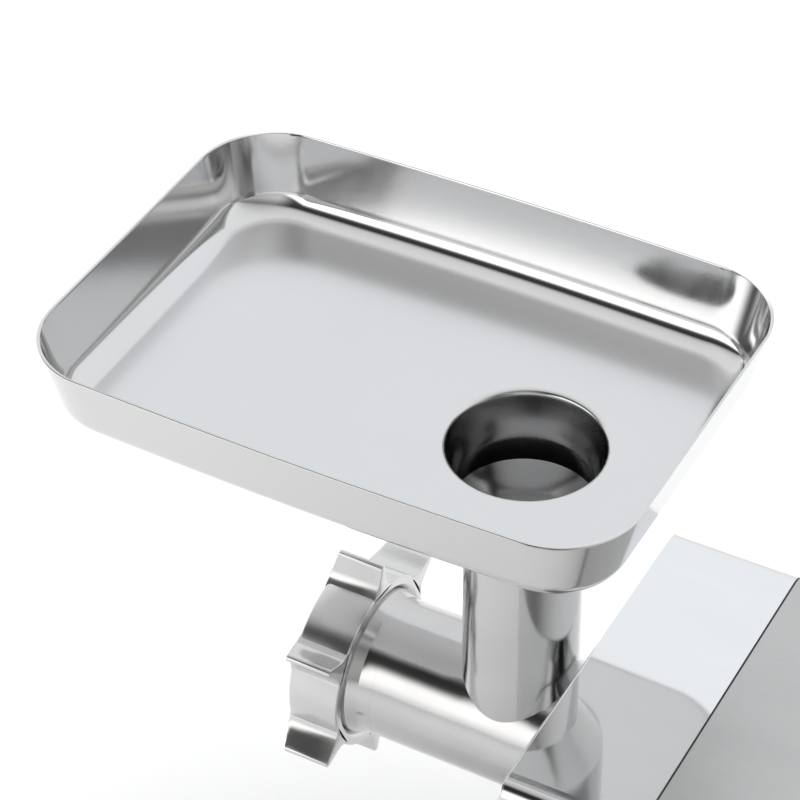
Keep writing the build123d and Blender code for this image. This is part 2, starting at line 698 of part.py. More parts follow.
def panelBrackets():
    """Angle blocks inside the cover's back edge, tapped for the rear panel's screws."""
    blocks = []
    for x, z in rearScrewPlaces():
        side = 1 if x > 0 else -1
        block = Pos(side * (REAR_SCREW_X + 6.5), REAR_PANEL_Y[0] - 6, z) * Box(16, 12, 12)
        blocks.append(block - rodY(2.02, REAR_PANEL_Y[0] - 13, REAR_PANEL_Y[0] + 1, x, z))
    return group(blocks)


def basePlate():
    """Bent steel base with side flanges for the housing screws."""
    y0 = SHELL_FRONT_Y + 2.4
    y1 = REAR_PANEL_Y[0] - 0.3
    half = SHELL_HALF_WIDTH - SHELL_WALL - 0.05
    mid = (y0 + y1) / 2
    plate = Pos(0, mid, SHELL_BOTTOM_Z + SHELL_WALL / 2) * Box(2 * half, y1 - y0, SHELL_WALL)
    for side in (-1, 1):
        flange = Box(SHELL_WALL, y1 - y0, FLANGE_TOP_Z - SHELL_BOTTOM_Z)
        height = (FLANGE_TOP_Z + SHELL_BOTTOM_Z) / 2
        plate += Pos(side * (half - SHELL_WALL / 2), mid, height) * flange
    for row in range(6):
        slot = Pos(0, 200 + row * 9) * SlotOverall(70, 4.5)
        plate -= upright(slot, SHELL_BOTTOM_Z - 1, SHELL_BOTTOM_Z + 3)
    for x, y in footPlaces():
        plate -= upright(Pos(x, y) * Circle(2.6), SHELL_BOTTOM_Z - 1, SHELL_BOTTOM_Z + 3)
    plate = sideScrewHoles(plate, FRONT_SCREW_Y + COVER_SCREW_Y)
    return plate


def footPlaces():
    return [(side * FOOT_X, y) for side in (-1, 1) for y in FOOT_Y]


def rubberFeet():
    """Four tapered feet with a pocket for the screw head."""
    feet = []
    for x, y in footPlaces():
        foot = turned([(6.5, 0), (FOOT_R - 2, 0), (FOOT_R, 2), (FOOT_R - 1, 14), (2.6, 14),
                       (2.6, 7), (6.5, 7)])
        feet.append(Pos(x, y, 0) * foot)
    return group(feet)


def footScrews():
    screws = []
    for x, y in footPlaces():
        screw = turned([(0, 4.2), (5.4, 4.2), (5.8, 6.9), (2.5, 6.9), (2.5, 20), (0, 20)])
        screws.append(Pos(x, y, 0) * screw)
    return group(screws)


def sideScrews():
    """Screws along the lower edge that hold shell and cover to the base plate."""
    screws = []
    for y in FRONT_SCREW_Y + COVER_SCREW_Y:
        for side in (-1, 1):
            face = SHELL_HALF_WIDTH
            shank = sideways(Pos(y, SIDE_SCREW_Z) * Circle(2.0), face - 7, face)
            head = sideways(Pos(y, SIDE_SCREW_Z) * Circle(3.8), face, face + 2)
            screw = fillet(head.faces().sort_by(Axis.X)[-1].edges(), 1.2) + shank
            screws.append(screw if side > 0 else mirror(screw, Plane.YZ))
    return group(screws)


def gearboxFeet():
    """Two feet that carry the gearbox on the base plate."""
    low = SHELL_BOTTOM_Z + SHELL_WALL
    feet = []
    for x, top in ((-34.0, 51.4), (4.0, 65.3)):
        feet.append(Pos(x, 70, (low + top) / 2) * Box(16, 40, top - low))
    return group(feet)


# ---- controls

def lockKnob():
    """Five-lobed clamping knob."""
    face = Circle(KNOB_R - 2.5)
    for i in range(5):
        face += Rot(0, 0, i * 72) * Pos(KNOB_R - 6, 0) * Circle(6)
    knob = sideways(Pos(KNOB_Y, AXIS_Z) * face, SHELL_HALF_WIDTH + 2.5, HALF_WIDTH)
    knob = fillet(knob.faces().sort_by(Axis.X)[-1].edges(), 2.0)
    collar = sideways(Pos(KNOB_Y, AXIS_Z) * Circle(10), SHELL_HALF_WIDTH + 0.5, SHELL_HALF_WIDTH + 2.5)
    bore = sideways(Pos(KNOB_Y, AXIS_Z) * Circle(LOCK_SCREW_R), 100, 121)
    return knob + collar - bore


def lockScrew():
    tip = SHANK_R - 2.4
    return sideways(Pos(KNOB_Y, AXIS_Z) * Circle(LOCK_SCREW_R), tip, 121)


def controlBezel():
    """Moulded frame round the two rockers and the reset button."""
    face = RectangleRounded(BEZEL[0], BEZEL[1], 8)
    for y, width, height in ((POWER_Y, *ROCKER), (REVERSE_Y, *ROCKER)):
        face -= Pos(y - CONTROL_Y, 0) * RectangleRounded(width + 1.4, height + 1.8, 2)
    face -= Pos(RESET_Y - CONTROL_Y, 0) * Circle(BUTTON_R + 0.4)
    x0 = SHELL_HALF_WIDTH
    bezel = sideways(Pos(CONTROL_Y, CONTROL_Z) * face, x0, x0 + BEZEL[2])
    return fillet(bezel.faces().sort_by(Axis.X)[-1].outer_wire().edges(), 1.5)


def switchBody(y):
    """Snap-in switch case behind the bezel."""
    x1 = SHELL_HALF_WIDTH - SHELL_WALL
    case = sideways(Pos(y, CONTROL_Z) * Rectangle(19.6, 29.6), x1 - 28, x1)
    well = sideways(Pos(y, CONTROL_Z) * Rectangle(ROCKER[0] + 1, ROCKER[1] + 1), x1 - 12, x1 + 1)
    return case - well - rodY(PIVOT_R + FIT, y - 10, y + 10, ROCKER_PIVOT_X, CONTROL_Z)


def rocker(y):
    """Rocker cap on its pivot, resting with its lower end pressed in."""
    width, height = ROCKER
    half = height / 2
    wedge = make_face(Polyline((-6, -half + 3), (3.4, -half + 0.2), (5.2, -half + 0.6), (3.9, 0),
                               (5.2, half - 0.6), (3.4, half - 0.2), (-6, half - 3), close=True))
    cap = extrude(Plane.XZ * wedge, amount=width / 2, both=True)
    cap = Pos(ROCKER_PIVOT_X, y, CONTROL_Z) * Rot(0, ROCKER_REST_TILT, 0) * cap
    return cap + rodY(PIVOT_R, y - PIVOT_HALF, y + PIVOT_HALF, ROCKER_PIVOT_X, CONTROL_Z)


def breakerBody():
    x1 = SHELL_HALF_WIDTH - SHELL_WALL
    case = sideways(Pos(RESET_Y, CONTROL_Z) * Rectangle(16, 16), x1 - 30, x1)
    return case - sideways(Pos(RESET_Y, CONTROL_Z) * Circle(BUTTON_R + 0.6), x1 - 20, x1 + 1)


def resetButton():
    cap = sideways(Pos(RESET_Y, CONTROL_Z) * Circle(BUTTON_R), BUTTON_BACK_X, SHELL_HALF_WIDTH + 5.5)
    cap = fillet(cap.faces().sort_by(Axis.X)[-1].edges(), 1.2)
    return cap + sideways(Pos(RESET_Y, CONTROL_Z) * Circle(2), 92, 98)


def resetSpring():
    """Return spring under the button, a sleeve of its pressed length."""
    floor = SHELL_HALF_WIDTH - SHELL_WALL - 20
    top = BUTTON_BACK_X - BUTTON_TRAVEL - 0.2
    return sideways(Pos(RESET_Y, CONTROL_Z) * (Circle(4.2) - Circle(3.0)), floor + 0.3, top)


def inletBody():
    """Panel socket for a mains lead, cavity open to the back."""
    y1 = REAR_PANEL_Y[1]
    body = across(Pos(INLET_X, INLET_Z) * RectangleRounded(28.6, 21, 3), y1 - 26, y1 + 2.4)
    body += across(Pos(INLET_X, INLET_Z) * RectangleRounded(50, 28, 5), y1, y1 + 2.4)
    cavity = across(Pos(INLET_X, INLET_Z) * RectangleRounded(24.6, 17, 3), y1 - 20, y1 + 3)
    holes = [rodY(1.9, y1 - 1, y1 + 3, INLET_X + dx, INLET_Z) for dx in (-20, 20)]
    return body - cavity - holes[0] - holes[1]


def inletPins():
    y1 = REAR_PANEL_Y[1]
    pins = []
    for dx, dz in ((-7, -1.5), (7, -1.5), (0, 2.0)):
        pins.append(Pos(INLET_X + dx, y1 - 18, INLET_Z + dz) * Box(2, 32, 4))
    return group(pins)


def capacitor():
    return rodY(9, 212, 252, 62, 60)


def capacitorClip():
    low = SHELL_BOTTOM_Z + SHELL_WALL
    clip = Pos(62, 232, (low + 60) / 2) * Box(22, 12, 60 - low)
    return clip - rodY(9.05, 220, 244, 62, 60)


def bearings():
    """Ball bearings and bushes of the three shafts, as plain rings."""
    front = BOX_FRONT_Y + BOX_WALL - 3
    return group([
        tubeY(21, 14 + FIT, BOX_FRONT_Y, BOX_FRONT_Y + 13),
        tubeY(13, 8 + FIT, BOX_BACK_Y, BOX_BACK_Y + 12),
        tubeY(8, 5 + FIT, front, BOX_FRONT_Y + 13, MID_X, MID_Z),
        tubeY(8, 5 + FIT, BOX_BACK_Y, BOX_BACK_Y + 7, MID_X, MID_Z),
        tubeY(11, 4 + FIT, *FRONT_BRACKET_Y, MOTOR_X, MOTOR_Z),
        tubeY(11, 4 + FIT, *REAR_BRACKET_Y, MOTOR_X, MOTOR_Z)])


def motorBrackets():
    return group([motorBracket(*FRONT_BRACKET_Y), motorBracket(*REAR_BRACKET_Y)])


def build():
    nodes = {
        "tray": tray(), "head_casting": headCasting(), "plate_key": plateKey(),
        "ring_nut": ringNut(), "grinder_plate": grinderPlate(), "knife": knife(),
        "feed_screw": feedScrew(), "feed_screw_stud": screwStud(),
        "feed_screw_washer": feedScrewWasher(), "head_socket": headSocket(),
        "socket_screws": socketScrews(), "gearbox_housing": gearboxHousing(),
        "gearbox_cover": gearboxCover(), "gearbox_screws": gearboxScrews(),
        "gearbox_feet": gearboxFeet(), "output_gear": outputGear(), "output_shaft": outputShaft(),
        "intermediate_pinion": intermediatePinion(), "intermediate_gear": intermediateGear(),
        "motor_pinion": motorPinion(), "rotor_shaft": rotorShaft(), "rotor_core": rotorCore(),
        "rotor_windings": rotorWindings(), "commutator": commutator(),
        "cooling_fan": coolingFan(), "stator_core": statorCore(),
        "field_windings": fieldWindings(), "motor_bolts": motorBolts(),
        "motor_spacers": motorSpacers(), "gearbox_spacers": gearboxSpacers(),
        "brush_holders": brushHolders(), "carbon_brushes": carbonBrushes(),
        "motor_cradle": motorCradle(), "front_shell": frontShell(), "front_panel": frontPanel(),
        "seam_gasket": seamGasket(), "rear_cover": rearCover(),
        "rear_panel": rearPanel(), "rear_screws": rearScrews(),
        "panel_brackets": panelBrackets(), "base_plate": basePlate(),
        "rubber_feet": rubberFeet(), "foot_screws": footScrews(), "side_screws": sideScrews(),
        "lock_knob": lockKnob(), "lock_screw": lockScrew(), "control_bezel": controlBezel(),
        "power_switch_body": switchBody(POWER_Y), "power_rocker": rocker(POWER_Y),
        "reverse_switch_body": switchBody(REVERSE_Y), "reverse_rocker": rocker(REVERSE_Y),
        "breaker_body": breakerBody(), "reset_button": resetButton(),
        "reset_spring": resetSpring(), "inlet_body": inletBody(), "inlet_pins": inletPins(),
        "suppressor_capacitor": group([capacitor(), capacitorClip()]),
        "bearings": bearings(), "motor_brackets": motorBrackets(),
    }
    for node, shape in nodes.items():
        save(shape, node)


build()
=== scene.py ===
import bpy
import bmesh
import json
import math
from mathutils import Matrix, Vector


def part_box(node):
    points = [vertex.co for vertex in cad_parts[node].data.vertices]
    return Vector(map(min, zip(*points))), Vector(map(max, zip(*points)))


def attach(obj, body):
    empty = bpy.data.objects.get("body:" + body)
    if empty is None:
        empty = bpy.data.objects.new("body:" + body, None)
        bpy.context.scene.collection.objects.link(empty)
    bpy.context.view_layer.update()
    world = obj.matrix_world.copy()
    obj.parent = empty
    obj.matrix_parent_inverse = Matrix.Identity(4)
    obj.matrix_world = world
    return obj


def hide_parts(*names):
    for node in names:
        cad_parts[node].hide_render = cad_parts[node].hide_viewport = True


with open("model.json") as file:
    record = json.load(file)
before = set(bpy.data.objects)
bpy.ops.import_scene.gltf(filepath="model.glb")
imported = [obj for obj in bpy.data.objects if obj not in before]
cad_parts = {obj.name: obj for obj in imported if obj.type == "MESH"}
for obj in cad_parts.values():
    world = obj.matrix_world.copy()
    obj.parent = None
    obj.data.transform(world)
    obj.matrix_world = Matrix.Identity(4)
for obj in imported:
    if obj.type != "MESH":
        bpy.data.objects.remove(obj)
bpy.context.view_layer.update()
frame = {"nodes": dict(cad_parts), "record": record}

record = frame["record"]
mm = 0.001
print("frame loaded:", len(frame["nodes"]), "nodes")


# shader writing: expressions on sockets
class Sock:
    def __init__(self, tree, socket):
        self.tree = tree
        self.socket = socket

    def make(self, nodeType, settings=None, inputs=None, out=0):
        node = self.tree.nodes.new(nodeType)
        for name, value in (settings or {}).items():
            if name == "stops":
                fillRamp(node.color_ramp, value)
            else:
                setattr(node, name, value)
        for key, value in (inputs or {}).items():
            if isinstance(value, Sock):
                self.tree.links.new(value.socket, node.inputs[key])
            else:
                node.inputs[key].default_value = value
        return Sock(self.tree, node.outputs[out])

    def math(self, operation, a, b=0.0):
        return self.make("ShaderNodeMath", {"operation": operation}, {0: a, 1: b})

    def __add__(self, other):
        return self.math("ADD", self, other)

    def __radd__(self, other):
        return self.math("ADD", other, self)

    def __sub__(self, other):
        return self.math("SUBTRACT", self, other)

    def __rsub__(self, other):
        return self.math("SUBTRACT", other, self)

    def __mul__(self, other):
        return self.math("MULTIPLY", self, other)

    def __truediv__(self, other):
        return self.math("DIVIDE", self, other)

    def smooth(self, low, high):
        return self.make("ShaderNodeMapRange", {"interpolation_type": "SMOOTHSTEP"},
                         {0: self, 1: low, 2: high, 3: 0.0, 4: 1.0})

    def mixed(self, first, second):
        return self.make("ShaderNodeMix", {"data_type": "RGBA"}, {0: self, 6: first, 7: second}, out=2)

    def between(self, first, second):
        return self.make("ShaderNodeMix", {"data_type": "FLOAT"}, {0: self, 2: first, 3: second})

    def scaled(self, size, turn=(0.0, 0.0, 0.0)):
        return self.make("ShaderNodeMapping", {}, {0: self, 2: turn, 3: size})

    def part(self, index):
        return self.make("ShaderNodeSeparateXYZ", {}, {0: self}, out=index)

    def noise(self, scale, detail=2.0, rough=0.5):
        return self.make("ShaderNodeTexNoise", {}, {"Vector": self, "Scale": scale, "Detail": detail,
                                                    "Roughness": rough})


def fillRamp(ramp, stops):
    while len(ramp.elements) < len(stops):
        ramp.elements.new(1.0)
    for element, (place, shade) in zip(ramp.elements, stops):
        element.position = place
        element.color = shade if len(shade) == 4 else (*shade, 1.0)


def newMaterial(name, metallic=0.0, coat=0.0, specular=0.5):
    material = bpy.data.materials.new(name)
    material.use_nodes = True
    tree = material.node_tree
    shader = tree.nodes["Principled BSDF"]
    shader.inputs["Metallic"].default_value = metallic
    shader.inputs["Coat Weight"].default_value = coat
    shader.inputs["Specular IOR Level"].default_value = specular
    place = Sock(tree, tree.nodes.new("ShaderNodeTexCoord").outputs["Object"])

    def feed(socketName, value):
        if isinstance(value, Sock):
            tree.links.new(value.socket, shader.inputs[socketName])
        else:
            shader.inputs[socketName].default_value = value

    return material, place, feed


def rgb(grey, tint=(0.0, 0.0, 0.0)):
    return (grey + tint[0], grey + tint[1], grey + tint[2], 1.0)


def addBump(place, feed, height, strength, distance):
    feed("Normal", place.make("ShaderNodeBump", {}, {"Height": height, "Strength": strength,
                                                     "Distance": distance}))


# finishes; the tray's table also holds painted light and shade tones
# farWallLight is a painted brightening of the far wall that stands in for its bright reflection;
# nearWallShade is the near wall's painted shade tone, now at the plain steel grey
trayFinishAndPaintedLight = {"floorRough": 0.18, "wallRough": 0.10, "collarRough": 0.16, "grain": 900.0,
              "steel": 0.64, "farWallLight": 0.97, "nearWallShade": 0.64,
              # collar: painted shade for the inside of the hole's collar
              "collar": 0.33}


def makeTraySteel():
    floorZ = trayPlan["floorZ"]
    material, place, feed = newMaterial("pressedSteel", metallic=1.0)
    height = place.part(2)
    wall = height.smooth(floorZ + 0.3 * mm, floorZ + 3.2 * mm)
    across = place.part(0)
    # painted light and shade: far and near mask the tray's far and near walls for their own flat painted
    # tones
    far = across.smooth(trayLow[0] + 26 * mm, trayLow[0] + 12 * mm) * wall
    near = across.smooth(trayHigh[0] - 26 * mm, trayHigh[0] - 12 * mm) * wall
    # painted shade: collar and inside mask the hole's collar below the floor, which gets a dark base colour
    # for the shade down the hole
    collar = 1.0 - height.smooth(floorZ - 5 * mm, floorZ - 2 * mm)
    grain = place.noise(trayFinishAndPaintedLight["grain"], 3.0, 0.6)
    cloud = place.noise(11.0, 2.0)
    steel = trayFinishAndPaintedLight["steel"]
    tone = cloud.mixed(rgb(steel - 0.015, (0, 0.003, 0.010)), rgb(steel + 0.02, (0, 0.001, 0.004)))
    # painted light: the far wall gets a brighter base colour for its bright reflection, and the near wall a
    # flat painted shade tone
    tone = near.mixed(far.mixed(tone, rgb(trayFinishAndPaintedLight["farWallLight"])), rgb(trayFinishAndPaintedLight["nearWallShade"]))
    inside = collar * hubDistance(place).smooth(44 * mm, 42 * mm)
    # painted shade: the darker base colour inside the collar
    feed("Base Color", inside.mixed(tone, rgb(trayFinishAndPaintedLight["collar"])))
    rough = wall.between(trayFinishAndPaintedLight["floorRough"], trayFinishAndPaintedLight["wallRough"])
    rough = inside.between(rough, trayFinishAndPaintedLight["collarRough"])
    feed("Roughness", rough + (grain - 0.5) * 0.05)
    addBump(place, feed, grain, 0.04, 0.0002)
    return material


def hubDistance(place):
    # distance from the feed tube's axis
    x = place.part(0)
    y = place.part(1) - tubeY
    squared = x * x + y * y
    return squared.math("SQRT", squared)


def makeCastPolish():
    material, place, feed = newMaterial("polishedCasting", metallic=1.0)
    waves = place.noise(28.0, 1.5, 0.4)
    fine = place.scaled((1.0, 1.0, 0.12)).noise(700.0, 2.0)
    # painted shade: bore masks the throat round the feed tube's axis, and its darker base colour (0.40) is
    # painted shade inside the throat
    bore = hubDistance(place).smooth(30 * mm, 28 * mm)
    feed("Base Color", bore.mixed(waves.mixed(rgb(0.52), rgb(0.60)), rgb(0.40)))
    feed("Roughness", bore.between(0.12 + waves * 0.05 + (fine - 0.5) * 0.04, 0.28))
    addBump(place, feed, waves, 0.40, 0.0008)
    return material


def makeNutPolish():
    material, place, feed = newMaterial("tumbledCasting", metallic=1.0)
    waves = place.noise(40.0, 2.0, 0.5)
    fine = place.noise(1400.0, 2.0, 0.6)
    feed("Base Color", waves.mixed(rgb(0.60), rgb(0.68)))
    feed("Roughness", 0.20 + waves * 0.05)
    addBump(place, feed, fine, 0.06, 0.0002)
    return material


def makeMirrorSteel():
    material, place, feed = newMaterial("mirrorSteel", metallic=1.0)
    waves = place.noise(9.0, 1.0)
    smear = place.scaled((1.0, 0.2, 1.0)).noise(60.0, 3.0)
    feed("Base Color", smear.mixed(rgb(0.72, (0, 0.008, 0.016)), rgb(0.76, (0, 0.006, 0.014))))
    feed("Roughness", 0.03 + smear * 0.03)
    addBump(place, feed, waves, 0.05, 0.001)
    return material


def makeBrushedSteel():
    material, place, feed = newMaterial("brushedSteel", metallic=1.0)
    grain = place.scaled((1.0, 0.10, 1.0)).noise(1500.0, 3.0, 0.65)
    broad = place.scaled((1.0, 0.25, 1.0)).noise(30.0, 2.0)
    feed("Base Color", (grain * 0.6 + broad * 0.4).mixed(rgb(0.42), rgb(0.56, (0.0, 0.0, -0.006))))
    feed("Roughness", 0.34 + (grain - 0.5) * 0.16)
    addBump(place, feed, grain, 0.10, 0.0003)
    return material


def makeMetal(name, base, rough, scale=600.0, stretch=(1.0, 1.0, 1.0)):
    material, place, feed = newMaterial(name, metallic=1.0)
    grain = place.scaled(stretch).noise(scale, 3.0)
    dark = tuple(value * 0.86 for value in base)
    feed("Base Color", grain.mixed((*dark, 1.0), (*base, 1.0)))
    feed("Roughness", rough + (grain - 0.5) * 0.12)
    addBump(place, feed, grain, 0.08, 0.0003)
    return material


def makePlastic(name, base, rough, texture=0.12, scale=1500.0, coat=0.0):
    material, place, feed = newMaterial(name, coat=coat)
    grain = place.noise(scale, 2.0, 0.6)
    worn = place.noise(60.0, 3.0)
    dark = tuple(value * 0.8 for value in base)
    feed("Base Color", worn.mixed((*dark, 1.0), (*base, 1.0)))
    feed("Roughness", rough + (worn - 0.5) * 0.10)
    addBump(place, feed, grain, texture, 0.0003)
    return material


# mesh helpers
def meshPiece(name, points, faces, smooth=True, sharpAngle=32.0):
    mesh = bpy.data.meshes.new(name)
    mesh.from_pydata([tuple(p) for p in points], [], faces)
    mesh.validate()
    mesh.update()
    piece = bpy.data.objects.new(name, mesh)
    bpy.context.collection.objects.link(piece)
    work = bmesh.new()
    work.from_mesh(mesh)
    bmesh.ops.remove_doubles(work, verts=work.verts, dist=1e-7)
    bmesh.ops.recalc_face_normals(work, faces=work.faces)
    for face in work.faces:
        face.smooth = smooth
    for edge in work.edges:
        if len(edge.link_faces) == 2:
            edge.smooth = edge.calc_face_angle(0.0) < math.radians(sharpAngle)
    work.to_mesh(mesh)
    work.free()
    return piece


def gridFaces(rings, count, closed=False):
    faces = []
    for i in range(rings if closed else rings - 1):
        a = i * count
        b = ((i + 1) % rings) * count
        for j in range(count):
            k = (j + 1) % count
            faces.append((a + j, a + k, b + k, b + j))
    return faces


def finishPiece(piece, material, body, slot, *replaced):
    piece.data.materials.clear()
    piece.data.materials.append(material)
    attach(piece, body)
    if replaced:
        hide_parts(*replaced)
    return piece


def arcPoints(centre, radius, start, end, count):
    step = math.radians(end - start) / count
    first = math.radians(start)
    angles = [first + i * step for i in range(count + 1)]
    return [(centre[0] + radius * math.cos(angle), centre[1] + radius * math.sin(angle)) for angle in angles]


# places from the frame
trayLow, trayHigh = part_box("tray")
nutLow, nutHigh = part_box("ring_nut")
shellLow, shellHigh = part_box("front_shell")
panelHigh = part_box("rear_panel")[1]
joints = {joint["name"]: joint for joint in record["behaviour"]["joints"]}
axisZ = joints["feed_spin"]["pos_m"][2]
throat = [mount for mount in record["mounts"] if mount["name"] == "feed_throat"][0]
tubeY = throat["pos_m"][1]

trayPlan = {"sheet": 1.2 * mm, "inset": 10 * mm, "fillet": 16 * mm, "corner": 43.5 * mm, "bow": 2.1 * mm,
            "collarDepth": 28 * mm, "holeR": 40 * mm, "endR": 35.7 * mm, "lip": 3.2 * mm,
            "cornerShrink": 0.8, "floorZ": trayHigh[2] - 44 * mm, "arcSteps": 18}
trayPlan["wallSteps"] = (0.0, 0.02, 0.05, 0.3, 0.6, 0.9, 0.97)


# tray
def trayOutline(inset, cornerR, z, arcSteps=26, longSteps=26, shortSteps=16):
    centre = ((trayLow[0] + trayHigh[0]) / 2, (trayLow[1] + trayHigh[1]) / 2)
    halfW = (trayHigh[0] - trayLow[0]) / 2 - inset
    halfL = (trayHigh[1] - trayLow[1]) / 2 - inset
    bow = trayPlan["bow"]
    flatW = halfW - bow
    points = []
    corners = ((1, 1, 0), (-1, 1, 90), (-1, -1, 180), (1, -1, 270))
    for index, (sx, sy, start) in enumerate(corners):
        hub = (sx * (flatW - cornerR), sy * (halfL - cornerR))
        points += arcPoints(hub, cornerR, start, start + 90, arcSteps)
        steps = shortSteps if index % 2 == 0 else longSteps
        nextX, nextY, nextStart = corners[(index + 1) % 4]
        here = points[-1]
        angle = math.radians(nextStart)
        there = (nextX * (flatW - cornerR) + cornerR * math.cos(angle),
                 nextY * (halfL - cornerR) + cornerR * math.sin(angle))
        for step in range(1, steps):
            t = step / steps
            x = here[0] + (there[0] - here[0]) * t
            y = here[1] + (there[1] - here[1]) * t
            swell = bow * math.sin(math.pi * t) if index % 2 else 0.0
            points.append((x + sx * swell, y))
    return [Vector((centre[0] + x, centre[1] + y, z)) for x, y in points]


def trayWallProfile(inside):
    # (inset, height above the floor) from the rim down the wall and round the fillet to the flat
    sheet = trayPlan["sheet"]
    rise = trayHigh[2] - trayPlan["floorZ"]
    lean = math.atan2(trayPlan["inset"], rise)
    radius = trayPlan["fillet"] - (sheet if inside else 0.0)
    side = sheet / math.cos(lean) if inside else 0.0
    floor = 0.0 if inside else -sheet
    centreZ = floor + radius
    centreX = side + (rise - centreZ) * math.tan(lean) + radius / math.cos(lean)
    start = 180.0 + math.degrees(lean)
    arc = arcPoints((centreX, centreZ), radius, start, 270.0, trayPlan["arcSteps"])
    crease = arc[0]
    top = (side, rise)
    run = (crease[0] - top[0], crease[1] - top[1])
    wall = [(top[0] + run[0] * t, top[1] + run[1] * t) for t in trayPlan["wallSteps"]]
    return wall + arc


def buildTray():
    plan = trayPlan
    floorZ = plan["floorZ"]
    rings = []

    def corner(inset):
        return plan["corner"] - plan["cornerShrink"] * inset

    inner = trayWallProfile(True)
    outer = trayWallProfile(False)
    for inset, height in inner:
        rings.append(trayOutline(inset, corner(inset), floorZ + height))
    edge = rings[-1]
    hub = Vector((0.0, tubeY, floorZ))
    ways = [(point - hub).normalized() for point in edge]
    lipR = plan["holeR"] + plan["lip"]
    for t in (0.2, 0.4, 0.6, 0.8, 0.93):
        rings.append([point.lerp(hub + way * lipR, t) for point, way in zip(edge, ways)])
    sheet = plan["sheet"]
    endR = plan["endR"]
    low = -plan["collarDepth"]
    lip = [(lipR + 0.6 * mm, 0.0), (lipR, -0.05 * mm), (lipR - 1.2 * mm, -0.35 * mm),
           (lipR - 2.2 * mm, -1.0 * mm), (lipR - 2.9 * mm, -2.1 * mm), (lipR - 3.25 * mm, -3.6 * mm)]
    collar = [(endR + 1.1 * mm, low * 0.80), (endR + 0.3 * mm, low * 0.97), (endR, low),
              (endR + 0.5 * sheet, low - 0.1 * mm), (endR + sheet, low),
              (endR + 1.2 * mm + sheet, low * 0.80)]
    under = [(lipR - 3.3 * mm + sheet, -3.9 * mm), (lipR - 2.4 * mm + sheet, -2.4 * mm),
             (lipR - 0.9 * mm + sheet, -1.35 * mm), (lipR + 0.8 * mm, -sheet)]
    for radius, height in lip + collar + under:
        rings.append([hub + way * radius + Vector((0, 0, height)) for way in ways])
    last = rings[-1]
    base = trayOutline(outer[-1][0], corner(outer[-1][0]), floorZ - sheet)
    for t in (0.07, 0.3, 0.6):
        rings.append([a.lerp(b, t) for a, b in zip(last, base)])
    for inset, height in reversed(outer):
        rings.append(trayOutline(inset, corner(inset), floorZ + height))
    rise = trayHigh[2]
    # rounded edge of the sheet
    rings[-1] = trayOutline(0.0, corner(0.0), rise - 0.5 * mm)
    rings.append(trayOutline(0.25 * mm, corner(0.0), rise - 0.1 * mm))
    rings.append(trayOutline(0.65 * mm, corner(0.0), rise))
    rings.append(trayOutline(1.05 * mm, corner(0.0), rise - 0.1 * mm))
    rings[0] = trayOutline(1.31 * mm, corner(0.0), rise - 0.5 * mm)
    points = [point for ring in rings for point in ring]
    piece = meshPiece("meatTray", points, gridFaces(len(rings), len(edge), closed=True), sharpAngle=60)
    return finishPiece(piece, traySteel, "tray", "tray_steel", "tray")


traySteel = makeTraySteel()
castPolish = makeCastPolish()
nutPolish = makeNutPolish()
mirrorSteel = makeMirrorSteel()
brushedSteel = makeBrushedSteel()
blackRubber = makePlastic("blackRubber", (0.02, 0.02, 0.021), 0.62, 0.2)
blackPlastic = makePlastic("blackPlastic", (0.025, 0.025, 0.027), 0.42, 0.15)
glossBlack = makePlastic("glossBlack", (0.02, 0.02, 0.022), 0.18, 0.02, coat=0.3)
redPlastic = makePlastic("redPlastic", (0.50, 0.03, 0.02), 0.28, 0.02, coat=0.2)
nylon = makePlastic("nylon", (0.80, 0.78, 0.72), 0.45, 0.05)
fanPlastic = makePlastic("fanPlastic", (0.05, 0.05, 0.055), 0.5, 0.1)
carbon = makePlastic("carbon", (0.03, 0.03, 0.03), 0.7, 0.2)
powderCoat = makePlastic("powderCoat", (0.09, 0.09, 0.095), 0.5, 0.35, 700.0)
toolSteel = makeMetal("toolSteel", (0.62, 0.62, 0.63), 0.24, 800.0, (1.0, 0.2, 1.0))
tinned = makeMetal("tinnedCasting", (0.66, 0.66, 0.67), 0.36, 120.0)
dieCast = makeMetal("dieCast", (0.60, 0.61, 0.62), 0.42, 300.0)
machined = makeMetal("machinedSteel", (0.56, 0.56, 0.57), 0.26, 900.0, (1.0, 0.15, 1.0))
lamination = makeMetal("lamination", (0.30, 0.30, 0.32), 0.45, 1800.0, (0.05, 1.0, 0.05))
copper = makeMetal("copperWire", (0.72, 0.36, 0.18), 0.32, 900.0)
brass = makeMetal("brass", (0.76, 0.58, 0.26), 0.28, 500.0)
plated = makeMetal("platedScrew", (0.72, 0.72, 0.73), 0.18, 700.0)
print("finishes made")

slotFinish = {
    "tray_steel": traySteel, "head_polish": castPolish, "shell_mirror": mirrorSteel,
    "cover_brushed": brushedSteel, "panel_steel": powderCoat, "tool_steel": toolSteel,
    "screw_cast": tinned, "washer_nylon": nylon,
    "gearbox_aluminium": dieCast, "gear_steel": machined, "lamination": lamination, "copper": copper,
    "brass": brass, "carbon": carbon, "fan_plastic": fanPlastic, "black_plastic": blackPlastic,
    "rocker_black": glossBlack, "button_red": redPlastic, "gasket_rubber": blackRubber,
    "screw_steel": plated}
for entry in record["subparts"]:
    for materialSlot in frame["nodes"][entry["node"]].material_slots:
        materialSlot.material = slotFinish[entry["material_slot"]]

buildTray()
print("tray built")


# Geometry Nodes trees for the repeated parts
def newTree(name, sockets):
    tree = bpy.data.node_groups.new(name, "GeometryNodeTree")
    for label, kind in sockets:
        tree.interface.new_socket(label, in_out="INPUT", socket_type="NodeSocket" + kind)
    tree.interface.new_socket("Geometry", in_out="OUTPUT", socket_type="NodeSocketGeometry")
    given = tree.nodes.new("NodeGroupInput").outputs
    return tree, given


